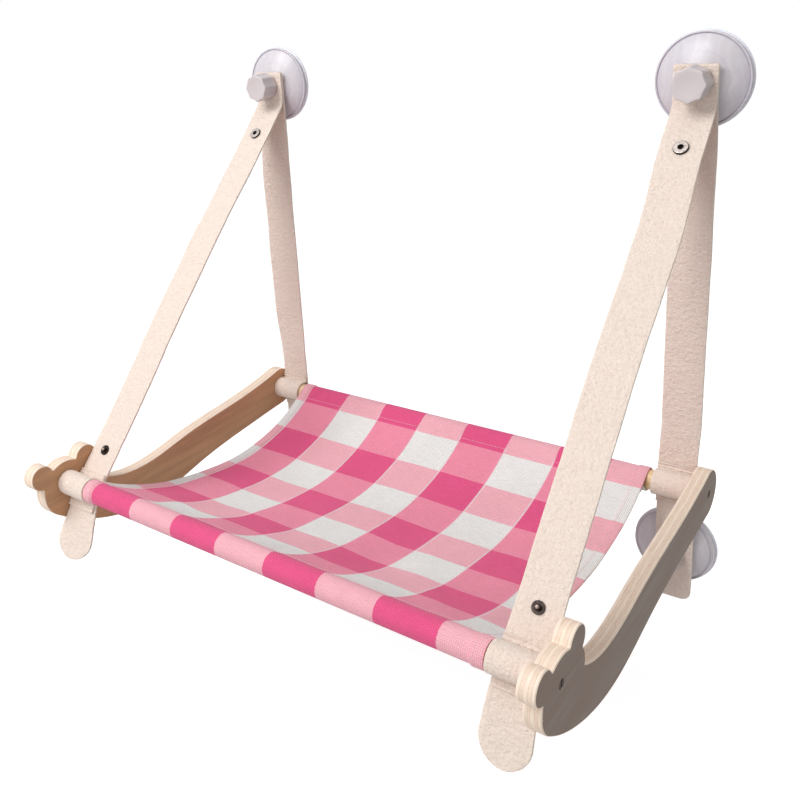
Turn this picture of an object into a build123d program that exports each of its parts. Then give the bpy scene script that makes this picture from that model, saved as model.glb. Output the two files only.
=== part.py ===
from build123d import *
import os
from math import asin, atan2, cos, degrees, hypot, radians, sin

# Window mounted cat perch: a cloth sling on two dowels between two plywood panels,
# hung by felt straps from four screw-down suction cups.
# X is to the right, Y is towards the window, Z is up.
# The origin is on the window, midway between the upper cups.

os.makedirs("parts", exist_ok=True)

# Layout
strap_spacing = 468.0  # between the middles of the left and right straps, at the dowels
upper_cup_inset = 3.5  # that the upper cups' middles stand inside the straps' middles
lower_cup_inset = 1.5
dowel_drop = 367.0  # rear dowel below the upper cups
lower_cup_drop = 81.0  # lower cups below the rear dowel
front_reach = 322.0  # front dowel in front of the rear one
front_rise = 26.0  # front dowel above the rear one

# Fits
felt_gap = 0.1  # between felt and what it is clamped or sewn to
dowel_gap = 0.3  # round a dowel, inside felt and cloth
fit_gap = 0.1  # between hard pieces that are pressed or screwed together
overrun = 1.0  # that a cut runs past a face

# Felt straps
strap_width = 36.0
felt = 2.2
strap_top = 14.5  # front strap above the upper studs
rear_strap_top = 13.0  # rear strap above the upper studs
strap_bottom = 50.0  # rear strap below the lower studs
strap_corner = 9.0
bend_start = 13.3  # below the upper studs, where the front strap leaves the cup
bend_radius = 16.0
tail_bend = 22.0  # front strap behind the front dowel
tail_angle = 22.0  # degrees that the hanging tail leans forward
tail_length = 64.0
tail_width = 41.0
stud_hole = 6.6

# Felt loops sewn to the straps round the dowels
front_flange_up = 18.0  # sewn edge above the front dowel's middle
front_flange_down = 22.0
rear_flange_up = 17.0
rear_flange_down = 25.0

# Dowels
dowel_diameter = 19.0

# Cloth
cloth = 1.1
cloth_gap = 0.6  # between the cloth's hems and the straps
sag_depth = 26.2  # lowest line of the sling below the rear dowel
rear_leave = 57.0  # degrees round the rear sleeve where the sling leaves it
front_leave = 130.0  # degrees round the front sleeve where the sling meets it
sag_shares = ((0.18, 0.62), (0.38, 1.0), (0.59, 0.72), (0.78, 0.10))  # of reach and sag depth

# Side panels
panel = 14.0
panel_gap = 1.5  # between the strap's edge and the panel
panel_edge = 1.2  # rounding of the panel's edges
notch_radius = 1.5  # rounding where the ears meet the head
rear_end_radius = 23.0
head_radius = 29.0
head_drop = 7.0  # head's middle below the front dowel
ear_radius = 12.5
ear_spread = 26.0  # each ear in front of or behind the head's middle
ear_rise = 22.5
cheek_radius = 20.0
cheek_back = 19.0  # cheek's middle behind the head's middle
nape_angle = 195.0  # degrees round the cheek where the arm's upper edge meets it
chin_angle = -50.0  # degrees round the head where the arm's lower edge meets it
arm_depth = 48.2  # lowest point of the arm below the rear dowel
arm_lower_shares = ((0.19, -0.57), (0.45, -0.76), (0.69, -1.0), (0.93, -0.62))  # of reach and arm depth
arm_upper_shares = ((0.24, 0.26), (0.50, 0.125), (0.72, -0.03), (0.86, 0.20))

# Panel screws
screw_head_radius = 4.0
screw_radius = 2.0
screw_length = 45.0
screw_tip = 4.0
slot_width = 1.3
slot_depth = 1.3

# Suction cups
cup_radius = 40.0
lip = 1.6  # thickness of the cup's edge
lip_face = 1.6  # width of the flat ring that meets the window
cup_hollow = 6.0
cup_wall = 3.0  # next to the boss
cup_bulge_share = 0.6  # of the wall, that the hollow's curve stays below its full depth
cup_back_share = 0.17  # of the wall, that the back's curve stands above the hollow
boss_radius = 9.5
boss_top = 13.6  # from the window

# Covers
cover_inset = 1.0  # the cover's edge inside the cup's
cover_wall = 1.8
cover_rim = 3.4  # edge of the cover from the window
bead = 2.0  # width of the rounded edge
bead_rise = 1.4
cover_seat_radius = 11.0
cup_seat = 17.2  # flat face under the strap, from the window
shoulder_share = 0.6  # of the cup's radius, where the cover's shoulder is
shoulder_depth = 12.6  # from the window

# Studs in the cups
stud_radius = 3.0
stud_head_radius = 7.0
stud_head = 2.2
stud_head_depth = 8.6  # head's face from the window
stud_reach = 36.0  # stud's tip from the window
stud_tip = 0.8

# Knobs
knob_radius = 14.4
knob_height = 21.0
knob_skirt = 2.0  # plain ring next to the strap
knob_skirt_radius = 12.4
flutes = 8
flute_radius = 24.0
flute_depth = 1.15
knob_edge = 1.2
dish_radius = 10.5
dish_depth = 0.8
nut_across_flats = 10.0
nut_height = 5.0

# Press studs
snap_radius = 6.2
snap_height = 2.2
snap_hole = 2.4
snap_rounding = 0.9
snap_cap = 1.2
snap_cap_crown = 0.5
snap_post = 2.0
post_grip = 0.6  # that the post reaches into the socket or the ball's flange
ball_flange_radius = 5.0
ball_flange = 1.0
ball_radius = 2.7
ball_neck = 2.1
ball_height = 4.4
socket_distance = 34.0  # along the strap from the end of its bend
ball_distance = 41.5  # along the strap from the front dowel

# Places worked out from the sizes
dowel_radius = dowel_diameter / 2
half = strap_spacing / 2
upper_cup_half = half - upper_cup_inset
lower_cup_half = half - lower_cup_inset
rear_y = -(cup_seat + felt_gap + felt + dowel_gap + dowel_radius)
rear_z = -dowel_drop
front_y = rear_y - front_reach
front_z = rear_z + front_rise
lower_z = rear_z - lower_cup_drop
panel_x = half + strap_width / 2 + panel_gap
cloth_half = half - strap_width / 2 - cloth_gap
rear_strap_y = -(cup_seat + felt_gap + felt / 2)
front_strap_y = rear_strap_y - felt - felt_gap
loop_radius = dowel_radius + dowel_gap + felt / 2
sleeve_radius = dowel_radius + dowel_gap + cloth / 2
sides = (("left", -1), ("right", 1))


def save(piece, name):
    """Label a finished piece and write its file."""
    piece.part.label = name
    export_step(piece.part, f"parts/{name}.step")


def turned(x, y, z, axis):
    """Plane for a profile that is turned about an axis: local y runs along the axis."""
    return Plane(origin=(x, y, z), x_dir=(1, 0, 0), z_dir=Vector(1, 0, 0).cross(Vector(*axis)))


def facing_room(x, y, z):
    """Plane parallel to the window that faces the room."""
    return Plane(origin=(x, y, z), x_dir=(1, 0, 0), z_dir=(0, -1, 0))


def lean_down(angle):
    """Unit vector in Y and Z, that many degrees forward of straight down."""
    return Vector(-sin(radians(angle)), -cos(radians(angle)))


def lean_front(angle):
    """Unit vector in Y and Z, square to lean_down and towards the room."""
    return Vector(-cos(radians(angle)), sin(radians(angle)))


def polar(radius, angle):
    """Point at a radius and an angle in degrees."""
    return Vector(radius * cos(radians(angle)), radius * sin(radians(angle)))


# The front strap bends under the knob, runs straight and tangent to the back of the
# front dowel, then eases into a tail that leans less. Its points are Y and Z pairs.
bend_middle = Vector(front_strap_y - bend_radius, -bend_start)
front_dowel_at = Vector(front_y, front_z)
rear_dowel_at = Vector(rear_y, rear_z)
run = front_dowel_at - bend_middle
lean = degrees(atan2(-run.X, -run.Y) - asin((loop_radius - bend_radius) / hypot(run.X, run.Y)))
strap_front = lean_front(lean)
tail_front = lean_front(tail_angle)
bend_end = bend_middle - strap_front * bend_radius
dowel_touch = front_dowel_at - strap_front * loop_radius
tail_start = dowel_touch - strap_front * tail_bend + tail_front * tail_bend
socket_at = bend_end + lean_down(lean) * socket_distance
ball_at = dowel_touch - lean_down(lean) * ball_distance


def loop_outline(middle, upper_lean, upper_face, flange_up, lower_lean, lower_face, flange_down):
    """Draw a loop's side view: a ring cut off at its strap's front face, with an edge sewn
    above the dowel and one below. Each face is a point on the strap's front, with its lean."""
    with Locations(middle):
        Circle(loop_radius + felt / 2)
        Circle(loop_radius - felt / 2, mode=Mode.SUBTRACT)
    seams = []
    for angle, face, reach in ((upper_lean, upper_face, -flange_up), (lower_lean, lower_face, flange_down)):
        down = lean_down(angle)
        foot = face + down * (middle - face).dot(down)
        seams.append((angle, foot, down, reach))
        past_strap = Align.CENTER if reach < 0 else Align.MAX
        with Locations(foot):
            Rectangle(
                loop_radius * 4,
                loop_radius * 2,
                rotation=90 - angle,
                align=(past_strap, Align.MAX),
                mode=Mode.SUBTRACT,
            )
    for angle, foot, down, reach in seams:
        from_strap = (middle - foot).dot(lean_front(angle)) - felt / 2
        start = (loop_radius**2 - from_strap**2) ** 0.5
        sewn_end = Align.MAX if reach < 0 else Align.MIN
        with Locations(foot + down * reach):
            Rectangle(abs(reach) - start, felt, rotation=90 - angle, align=(sewn_end, Align.MIN))


def drill(x, at, direction, radius, depth):
    """Cut a round hole both ways from a Y and Z point at the given X."""
    plane = Plane(origin=(x, at.X, at.Y), x_dir=(1, 0, 0), z_dir=(0, direction.X, direction.Y))
    with BuildSketch(plane) as hole:
        Circle(radius)
    extrude(hole.sketch, amount=depth, both=True, mode=Mode.SUBTRACT)


def make_cup(place, x, z, strap_y):
    """A suction cup's five pieces, with the strap's middle at strap_y."""
    profile = turned(x, 0, z, (0, -1, 0))
    axis = Axis((x, 0, z), (0, -1, 0))
    flank = (boss_radius + cup_radius) / 2

    with BuildPart() as suction_cup:
        with BuildSketch(profile):
            with BuildLine():
                Line((0, cup_hollow), (boss_radius, cup_hollow))
                hollow_middle = (flank, cup_hollow - cup_wall * cup_bulge_share)
                ThreePointArc((boss_radius, cup_hollow), hollow_middle, (cup_radius - lip_face, 0))
                Polyline((cup_radius - lip_face, 0), (cup_radius, 0), (cup_radius, lip))
                back_middle = (flank, cup_hollow + cup_wall * cup_back_share)
                ThreePointArc((cup_radius, lip), back_middle, (boss_radius, cup_hollow + cup_wall))
                Polyline((boss_radius, cup_hollow + cup_wall), (boss_radius, boss_top), (0, boss_top))
                Line((0, boss_top), (0, cup_hollow))
            make_face()
            with Locations((0, stud_head_depth - fit_gap)):
                Rectangle(
                    stud_head_radius + fit_gap,
                    stud_head + fit_gap * 2,
                    align=(Align.MIN, Align.MIN),
                    mode=Mode.SUBTRACT,
                )
                Rectangle(stud_radius + fit_gap, boss_top, align=(Align.MIN, Align.MIN), mode=Mode.SUBTRACT)
        revolve(axis=axis)
    save(suction_cup, "suction_cup_" + place)

    with BuildPart() as cup_stud:
        with BuildSketch(profile):
            with Locations((0, stud_head_depth)):
                Rectangle(stud_head_radius, stud_head, align=(Align.MIN, Align.MIN))
                Rectangle(stud_radius, stud_reach - stud_head_depth, align=(Align.MIN, Align.MIN))
        revolve(axis=axis)
        chamfer(cup_stud.edges().group_by(Axis.Y)[0], stud_tip)
    save(cup_stud, "cup_stud_" + place)

    with BuildPart() as cup_cover:
        with BuildSketch(profile):
            cover_radius = cup_radius - cover_inset
            groove_radius = cover_radius - bead
            shoulder_radius = cup_radius * shoulder_share
            groove_depth = cover_rim + cover_wall
            with BuildLine():
                Line((stud_radius + fit_gap, cup_seat), (cover_seat_radius, cup_seat))
                slope = ThreePointArc(
                    (cover_seat_radius, cup_seat),
                    ((cover_seat_radius + shoulder_radius) / 2, (cup_seat + shoulder_depth) / 2 + bead_rise / 4),
                    (shoulder_radius, shoulder_depth),
                )
                ThreePointArc(
                    slope @ 1,
                    ((shoulder_radius + groove_radius) / 2, (shoulder_depth + groove_depth) / 2 + bead_rise / 2),
                    (groove_radius, groove_depth),
                )
                ThreePointArc(
                    (groove_radius, groove_depth),
                    (cover_radius - bead / 2, groove_depth + bead_rise / 2),
                    (cover_radius, groove_depth - bead_rise / 2),
                )
                Line((cover_radius, groove_depth - bead_rise / 2), (cover_radius, cover_rim))
                Line((cover_radius, cover_rim), (groove_radius, cover_rim))
                ThreePointArc(
                    (groove_radius, cover_rim),
                    (
                        (shoulder_radius + groove_radius) / 2,
                        (shoulder_depth + groove_depth) / 2 + bead_rise / 2 - cover_wall,
                    ),
                    (shoulder_radius, shoulder_depth - cover_wall),
                )
                Line((shoulder_radius, shoulder_depth - cover_wall), (cover_seat_radius, cup_seat - cover_wall))
                Line((cover_seat_radius, cup_seat - cover_wall), (stud_radius + fit_gap, cup_seat - cover_wall))
                Line((stud_radius + fit_gap, cup_seat - cover_wall), (stud_radius + fit_gap, cup_seat))
            make_face()
        revolve(axis=axis)
    save(cup_cover, "cup_cover_" + place)

    base_y = strap_y - felt / 2 - felt_gap
    base = facing_room(x, base_y, z)
    dish_sphere = (dish_radius**2 + dish_depth**2) / (dish_depth * 2)
    with BuildPart() as clamp_knob:
        with BuildSketch(base):
            Circle(knob_skirt_radius)
        extrude(amount=knob_skirt)
        with BuildSketch(base.offset(knob_skirt)):
            Circle(knob_radius)
            with PolarLocations(knob_radius + flute_radius - flute_depth, flutes, start_angle=180 / flutes):
                Circle(flute_radius, mode=Mode.SUBTRACT)
        extrude(amount=knob_height - knob_skirt)
        fillet(clamp_knob.edges().group_by(Axis.Y)[0], knob_edge)
        with Locations((x, base_y - knob_height - dish_sphere + dish_depth, z)):
            Sphere(dish_sphere, mode=Mode.SUBTRACT)
        with BuildSketch(base):
            Circle(stud_radius + fit_gap)
        extrude(amount=base_y + stud_reach + overrun, mode=Mode.SUBTRACT)
        with BuildSketch(base):
            RegularPolygon(nut_across_flats / 2 + fit_gap, 6, major_radius=False)
        extrude(amount=nut_height + fit_gap, mode=Mode.SUBTRACT)
    save(clamp_knob, "clamp_knob_" + place)

    with BuildPart() as knob_nut:
        with BuildSketch(base):
            RegularPolygon(nut_across_flats / 2, 6, major_radius=False)
            Circle(stud_radius + fit_gap, mode=Mode.SUBTRACT)
        extrude(amount=nut_height)
    save(knob_nut, "knob_nut_" + place)


def make_straps(side_name, side):
    """One side's two straps and the loops sewn to them round the dowels."""
    x = side * half
    upper_x = side * upper_cup_half
    lower_x = side * lower_cup_half
    edge_plane = Plane.YZ.offset(x - strap_width / 2)
    straight_back = Vector(1, 0)

    with BuildPart() as rear_strap:
        with BuildSketch(facing_room(x, rear_strap_y, 0)):
            with Locations((0, rear_strap_top)):
                Rectangle(strap_width, rear_strap_top - lower_z + strap_bottom, align=(Align.CENTER, Align.MAX))
        extrude(amount=felt / 2, both=True)
        fillet(rear_strap.edges().filter_by(Axis.Y).group_by(Axis.Z)[0], strap_corner)
        drill(upper_x, Vector(rear_strap_y, 0), straight_back, stud_hole / 2, felt)
        drill(lower_x, Vector(rear_strap_y, lower_z), straight_back, stud_hole / 2, felt)
    save(rear_strap, "rear_strap_" + side_name)

    rear_face = Vector(rear_strap_y - felt / 2 - felt_gap, rear_z)
    with BuildPart() as rear_loop:
        with BuildSketch(edge_plane):
            loop_outline(rear_dowel_at, 0, rear_face, rear_flange_up, 0, rear_face, rear_flange_down)
        extrude(amount=strap_width)
    save(rear_loop, "rear_loop_" + side_name)

    with BuildPart() as front_strap:
        with BuildSketch(edge_plane):
            with BuildLine():
                clamped = Line((front_strap_y, strap_top), (front_strap_y, -bend_start))
                bend = JernArc(clamped @ 1, (0, -1), bend_radius, -lean)
                straight = Line(bend @ 1, dowel_touch)
                JernArc(straight @ 1, lean_down(lean), tail_bend, lean - tail_angle)
            trace(line_width=felt)
        extrude(amount=strap_width)
        tail_plane = Plane(
            origin=(x, tail_start.X, tail_start.Y),
            x_dir=(1, 0, 0),
            z_dir=(0, tail_front.X, tail_front.Y),
        )
        round_start = tail_width / 2 - tail_length
        with BuildSketch(tail_plane):
            with BuildLine():
                Line((-tail_width / 2, round_start), (-strap_width / 2, 0))
                Line((-strap_width / 2, 0), (strap_width / 2, 0))
                Line((strap_width / 2, 0), (tail_width / 2, round_start))
                ThreePointArc((tail_width / 2, round_start), (0, -tail_length), (-tail_width / 2, round_start))
            make_face()
        extrude(amount=felt / 2, both=True)
        drill(upper_x, Vector(front_strap_y, 0), straight_back, stud_hole / 2, felt)
        drill(upper_x, socket_at, strap_front, snap_post + fit_gap, felt)
        drill(x, ball_at, strap_front, snap_post + fit_gap, felt)
    save(front_strap, "front_strap_" + side_name)

    upper_face = dowel_touch + strap_front * (felt / 2 + felt_gap)
    lower_face = tail_start + tail_front * (felt / 2 + felt_gap)
    with BuildPart() as front_loop:
        with BuildSketch(edge_plane):
            loop_outline(
                front_dowel_at, lean, upper_face, front_flange_up, tail_angle, lower_face, front_flange_down
            )
        extrude(amount=strap_width)
    save(front_loop, "front_loop_" + side_name)


def make_press_stud(side_name, side):
    """One side's press stud: a socket high on the front strap and a ball low on it, each with
    a cap behind the felt whose post goes through."""
    face = felt / 2 + felt_gap
    for kind, x, at in (("socket", side * upper_cup_half, socket_at), ("ball", side * half, ball_at)):
        profile = turned(x, at.X, at.Y, (0, strap_front.X, strap_front.Y))
        axis = Axis((x, at.X, at.Y), (0, strap_front.X, strap_front.Y))

        with BuildPart() as snap_cap_piece:
            with BuildSketch(profile):
                with BuildLine():
                    Polyline(
                        (0, -face - snap_cap),
                        (0, face + post_grip),
                        (snap_post, face + post_grip),
                        (snap_post, -face),
                        (snap_radius, -face),
                        (snap_radius, -face - snap_cap + snap_cap_crown),
                    )
                    ThreePointArc(
                        (snap_radius, -face - snap_cap + snap_cap_crown),
                        (snap_radius - snap_cap_crown / 2, -face - snap_cap + snap_cap_crown / 4),
                        (snap_radius - snap_cap_crown * 2, -face - snap_cap),
                    )
                    Line((snap_radius - snap_cap_crown * 2, -face - snap_cap), (0, -face - snap_cap))
                make_face()
            revolve(axis=axis)
        save(snap_cap_piece, f"snap_{kind}_cap_{side_name}")

        with BuildPart() as snap_front:
            with BuildSketch(profile):
                if kind == "socket":
                    with Locations((snap_hole, face)):
                        Rectangle(snap_radius - snap_hole, snap_height, align=(Align.MIN, Align.MIN))
                else:
                    with Locations((0, face)):
                        Rectangle(ball_flange_radius, ball_flange, align=(Align.MIN, Align.MIN))
                        Rectangle(ball_neck, ball_height - ball_radius, align=(Align.MIN, Align.MIN))
                    with Locations((0, face + ball_height - ball_radius)):
                        Circle(ball_radius)
                    with Locations((0, face)):
                        Rectangle(ball_radius, ball_height, align=(Align.MAX, Align.MIN), mode=Mode.SUBTRACT)
                        Rectangle(ball_radius * 2, ball_radius, align=(Align.CENTER, Align.MAX), mode=Mode.SUBTRACT)
                        Rectangle(
                            snap_post + fit_gap,
                            post_grip + fit_gap,
                            align=(Align.MIN, Align.MIN),
                            mode=Mode.SUBTRACT,
                        )
            revolve(axis=axis)
            if kind == "socket":
                rim = snap_front.edges().group_by(axis)[-1].sort_by(SortBy.RADIUS)[-1]
                fillet(rim, snap_rounding)
        save(snap_front, f"snap_{kind}_{side_name}")


def make_panel(side_name, side):
    """A plywood side panel: an arm with a round rear end and an eared head, and its screws."""
    inner_x = side * panel_x
    outer_x = inner_x + side * panel
    plane = Plane(origin=(max(inner_x, outer_x), rear_y, rear_z), x_dir=(0, -1, 0), z_dir=(-1, 0, 0))
    head = Vector(front_reach, front_rise - head_drop)
    cheek = head - Vector(cheek_back, 0)
    nape = cheek + polar(cheek_radius, nape_angle)
    chin = head + polar(head_radius, chin_angle)
    lower = [(share * front_reach, drop * arm_depth) for share, drop in arm_lower_shares]
    upper = [(share * front_reach, drop * arm_depth) for share, drop in arm_upper_shares]
    ends = ((rear_y, rear_z), (front_y, front_z))

    with BuildPart() as side_panel:
        with BuildSketch(plane) as outline:
            with BuildLine():
                Spline((0, -rear_end_radius), *lower, chin)
                Line(chin, head)
                Line(head, cheek)
                Line(cheek, nape)
                Spline(nape, *reversed(upper), (0, rear_end_radius))
                Line((0, rear_end_radius), (0, -rear_end_radius))
            make_face()
            Circle(rear_end_radius)
            with Locations(head):
                Circle(head_radius)
            with Locations(cheek):
                Circle(cheek_radius)
            with Locations(head + Vector(ear_spread, ear_rise), head + Vector(-ear_spread, ear_rise)):
                Circle(ear_radius)
        extrude(amount=panel)
        in_front = rear_y - front_reach / 2
        notches = side_panel.edges().filter_by(Axis.X).filter_by_position(Axis.Y, in_front - front_reach, in_front)
        chin_at = plane.from_local_coords(chin)
        fillet(notches.sort_by_distance(chin_at)[1:], notch_radius)
        broad_faces = side_panel.faces().sort_by(Axis.X)
        fillet(broad_faces[0].outer_wire().edges() + broad_faces[-1].outer_wire().edges(), panel_edge)
        for y, z in ends:
            hole_plane = Plane(origin=(outer_x, y, z), x_dir=(0, 1, 0), z_dir=(side, 0, 0))
            with Locations(hole_plane):
                CounterSinkHole(screw_radius + fit_gap, screw_head_radius + fit_gap * 2)
    save(side_panel, "side_panel_" + side_name)

    for (y, z), name in zip(ends, ("rear_", "front_")):
        profile = Plane(origin=(outer_x, y, z), x_dir=(0, 1, 0), z_dir=Vector(0, 1, 0).cross(Vector(side, 0, 0)))
        with BuildPart() as panel_screw:
            with BuildSketch(profile):
                with BuildLine():
                    Polyline(
                        (0, 0),
                        (screw_head_radius, 0),
                        (screw_radius, screw_radius - screw_head_radius),
                        (screw_radius, screw_tip - screw_length),
                        (0, -screw_length),
                        close=True,
                    )
                make_face()
            revolve(axis=Axis((outer_x, y, z), (side, 0, 0)))
            with BuildSketch(Plane(origin=(outer_x, y, z), x_dir=(0, 1, 0), z_dir=(side, 0, 0))):
                Rectangle(slot_width, screw_head_radius * 2)
            extrude(amount=-slot_depth, mode=Mode.SUBTRACT)
        save(panel_screw, "panel_screw_" + name + side_name)


def make_dowel(name, at):
    """A dowel that butts against both panels, with a pilot hole in each end."""
    with BuildPart() as dowel:
        with BuildSketch(Plane.YZ.offset(-panel_x)):
            with Locations(at):
                Circle(dowel_radius)
        extrude(amount=panel_x * 2)
        for end in (-panel_x, panel_x):
            with BuildSketch(Plane.YZ.offset(end)):
                with Locations(at):
                    Circle(screw_radius + fit_gap)
            extrude(amount=screw_length - panel + overrun, both=True, mode=Mode.SUBTRACT)
    save(dowel, name)


for cup_side, cup_sign in sides:
    make_cup("upper_" + cup_side, cup_sign * upper_cup_half, 0, front_strap_y)
    make_cup("lower_" + cup_side, cup_sign * lower_cup_half, lower_z, rear_strap_y)
    make_straps(cup_side, cup_sign)
    make_press_stud(cup_side, cup_sign)
    make_panel(cup_side, cup_sign)
make_dowel("rear_dowel", rear_dowel_at)
make_dowel("front_dowel", front_dowel_at)

# The sling: a sleeve on each dowel and the sagging cloth between them.
with BuildPart() as hammock_cloth:
    with BuildSketch(Plane.YZ.offset(-cloth_half)):
        leave = rear_dowel_at + polar(sleeve_radius, 180 - rear_leave)
        meet = front_dowel_at + polar(sleeve_radius, 180 - front_leave)
        sag = [(rear_y - share * front_reach, rear_z - drop * sag_depth) for share, drop in sag_shares]
        with BuildLine():
            Spline(leave, *sag, meet, tangents=(lean_down(rear_leave), lean_down(front_leave)))
        trace(line_width=cloth)
        with Locations(rear_dowel_at, front_dowel_at):
            Circle(sleeve_radius + cloth / 2)
            Circle(sleeve_radius - cloth / 2, mode=Mode.SUBTRACT)
    extrude(amount=cloth_half * 2)
save(hammock_cloth, "hammock_cloth")
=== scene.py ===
import math
from bisect import bisect_right

import bmesh
import bpy
from bpy.props import FloatProperty, FloatVectorProperty, IntProperty, PointerProperty
from mathutils import Matrix, Vector, noise
from mathutils.geometry import interpolate_bezier


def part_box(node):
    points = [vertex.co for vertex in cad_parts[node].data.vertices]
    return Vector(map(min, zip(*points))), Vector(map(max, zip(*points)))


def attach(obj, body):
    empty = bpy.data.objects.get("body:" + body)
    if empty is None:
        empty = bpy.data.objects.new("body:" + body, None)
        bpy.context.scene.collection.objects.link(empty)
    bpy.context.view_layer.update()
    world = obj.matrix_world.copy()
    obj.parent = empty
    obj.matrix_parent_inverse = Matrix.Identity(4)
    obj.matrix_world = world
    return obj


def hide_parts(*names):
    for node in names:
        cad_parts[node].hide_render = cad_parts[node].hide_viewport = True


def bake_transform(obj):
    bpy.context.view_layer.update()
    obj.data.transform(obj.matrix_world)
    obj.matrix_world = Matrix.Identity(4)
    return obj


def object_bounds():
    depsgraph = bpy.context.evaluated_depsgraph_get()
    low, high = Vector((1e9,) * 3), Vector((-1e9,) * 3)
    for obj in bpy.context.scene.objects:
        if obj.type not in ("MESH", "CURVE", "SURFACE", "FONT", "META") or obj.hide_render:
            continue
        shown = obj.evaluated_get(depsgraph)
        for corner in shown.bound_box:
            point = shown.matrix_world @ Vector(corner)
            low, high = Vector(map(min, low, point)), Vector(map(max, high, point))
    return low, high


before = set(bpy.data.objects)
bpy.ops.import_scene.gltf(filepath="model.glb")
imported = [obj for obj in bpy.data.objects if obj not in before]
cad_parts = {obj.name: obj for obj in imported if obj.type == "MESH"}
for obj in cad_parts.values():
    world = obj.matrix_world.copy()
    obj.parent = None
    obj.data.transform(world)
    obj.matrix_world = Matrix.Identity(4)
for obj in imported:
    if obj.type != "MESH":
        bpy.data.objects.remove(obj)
cad_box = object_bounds()

bl_info = {
    "name": "Window Cat Perch",
    "version": (1, 0, 0),
    "blender": (4, 5, 0),
    "location": "View3D > Sidebar > Cat Perch",
    "description": "Makes the cloth, felt, stitches, finishes and stage of a window mounted cat perch",
    "category": "Object",
}

SIDES = ("left", "right")
PLACES = ("upper_left", "upper_right", "lower_left", "lower_right")
WINDOW_BODY = "window_side"
FRAME_BODY = "folding_frame"

# Distances down a strap over which it leaves its straight line, and over which it comes back to it
REAR_SWAYS = {"left": ((0.03, 0.12), (0.27, 0.345)), "right": ((0.02, 0.08), (0.32, 0.36))}
FRONT_BOWS = {"left": ((0.09, 0.22), (0.28, 0.41)), "right": ((0.078, 0.145), (0.13, 0.29))}


def paint(red, green, blue):
    """Linear colour of a screen colour given from 0 to 255."""
    shares = (value / 255 for value in (red, green, blue))
    return tuple(share / 12.92 if share <= 0.04045 else ((share + 0.055) / 1.055) ** 2.4 for share in shares)


def corners(node):
    """Lowest and highest corner of a CAD node, as vectors."""
    low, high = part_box(node)
    return Vector(low), Vector(high)


def side_middle(node):
    """Middle of a CAD node seen from the side: its Y and Z."""
    low, high = corners(node)
    return Vector(((low.y + high.y) / 2, (low.z + high.z) / 2))


def middle_x(node):
    """X of a CAD node's middle."""
    low, high = corners(node)
    return (low.x + high.x) / 2


def half_width(node):
    """Half of a CAD node's size from left to right."""
    low, high = corners(node)
    return (high.x - low.x) / 2


def thickness_of(node):
    """Size of a CAD node from the window side to the room side."""
    low, high = corners(node)
    return high.y - low.y


# Settings that a user would change


def length(name, text, default, **limits):
    """A setting in metres."""
    return FloatProperty(name=name, description=text, default=default, unit="LENGTH", precision=5, **limits)


def lengths(name, text, default):
    """A few settings in metres that belong together."""
    size = len(default)
    return FloatVectorProperty(
        name=name, description=text, default=default, size=size, unit="LENGTH", precision=5
    )


def angle(name, text, degrees):
    """An angle setting, given in degrees."""
    return FloatProperty(name=name, description=text, default=math.radians(degrees), unit="ROTATION")


def colour(name, text, default):
    """A colour setting."""
    return FloatVectorProperty(
        name=name, description=text, default=default, min=0.0, max=1.0, subtype="COLOR"
    )


def number(name, text, default, **settings):
    """A setting without a unit, or with its own."""
    return FloatProperty(name=name, description=text, default=default, **settings)


class PERCH_PG_cloth(bpy.types.PropertyGroup):
    thickness: length("Cloth", "Thickness of the canvas", 0.0009)
    sleeve_gap: length("Sleeve gap", "Between the dowel and the cloth's inside", 0.0004)
    sag: length("Sag", "Lowest line of the sling below the rear dowel's middle", 0.0262)
    hem: length("Hem", "Width of the folded side hems", 0.0095)
    hem_fold: length("Hem fold", "Radius of the fold at the side hems", 0.00055)
    hem_rise: length("Hem rise", "Width over which the cloth rises onto its hem", 0.002)
    hem_lift: length("Hem lift", "Height of the cloth over the hem, past the fold's radius", 0.00035)
    seam: length("Seam", "From the dowel's tangent point to the sleeve's seam", 0.0125)
    flap: length("Flap", "Turned edge past the sleeve's seam", 0.007)
    ripple: length("Ripple", "Height of the loose waves in the sling", 0.0019)
    rear_inset: length("Rear inset", "How much further in the side hems lie at the rear dowel", 0.0045)
    mid_inset: length("Middle inset", "How much further in the side hems lie halfway", 0.0030)
    rear_shift: length("Rear shift", "How far to the right the cloth lies at the rear dowel", 0.0010)
    row: length("Row", "Most that two rows of the mesh lie apart", 0.0019)
    check_width: length("Check width", "Width of one stripe that runs front to back", 0.0545)
    check_length: length("Check length", "Width of one stripe that runs across", 0.0435)
    check_start: length("First check", "Left edge of the first dark stripe, from the middle", -0.2024)
    first_row: length("First row", "End of the first row, from the rear dowel's top", 0.0245)
    thread: length("Thread", "Width of one woven thread", 0.0016)
    edge: length("Stripe edge", "Half width of the pale line beside each stripe front to back", 0.0015)
    edge_fade: length("Stripe edge fade", "Over which those lines fade out at the dowels", 0.02)
    fray: length("Fray", "How unevenly a stripe's edge runs", 0.0012)
    # Painted shade: where the dark line inside each hem lies, and its half width.
    hem_shade_line: lengths("Hem mark", "Distance in from the hem, and half width, of its line", (0.0006, 0.0011))
    hem_sewn: length("Hem stitches", "From the hem's fold inside to its stitches", 0.0015)
    stitch: lengths("Stitch", "A stitch's pitch, length and thread radius", (0.0034, 0.0026, 0.00028))
    dark: colour("Dark check", "Where two pink stripes cross", paint(236, 84, 138))
    middle: colour("Middle check", "Where a pink stripe runs front to back", paint(248, 146, 172))
    light: colour("Light check", "Where a pink stripe runs across", paint(250, 182, 194))
    white: colour("White check", "Where no pink stripe runs", paint(243, 241, 239))
    stitches: colour("Stitches", "Thread of the cloth's seams", paint(246, 206, 214))


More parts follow.
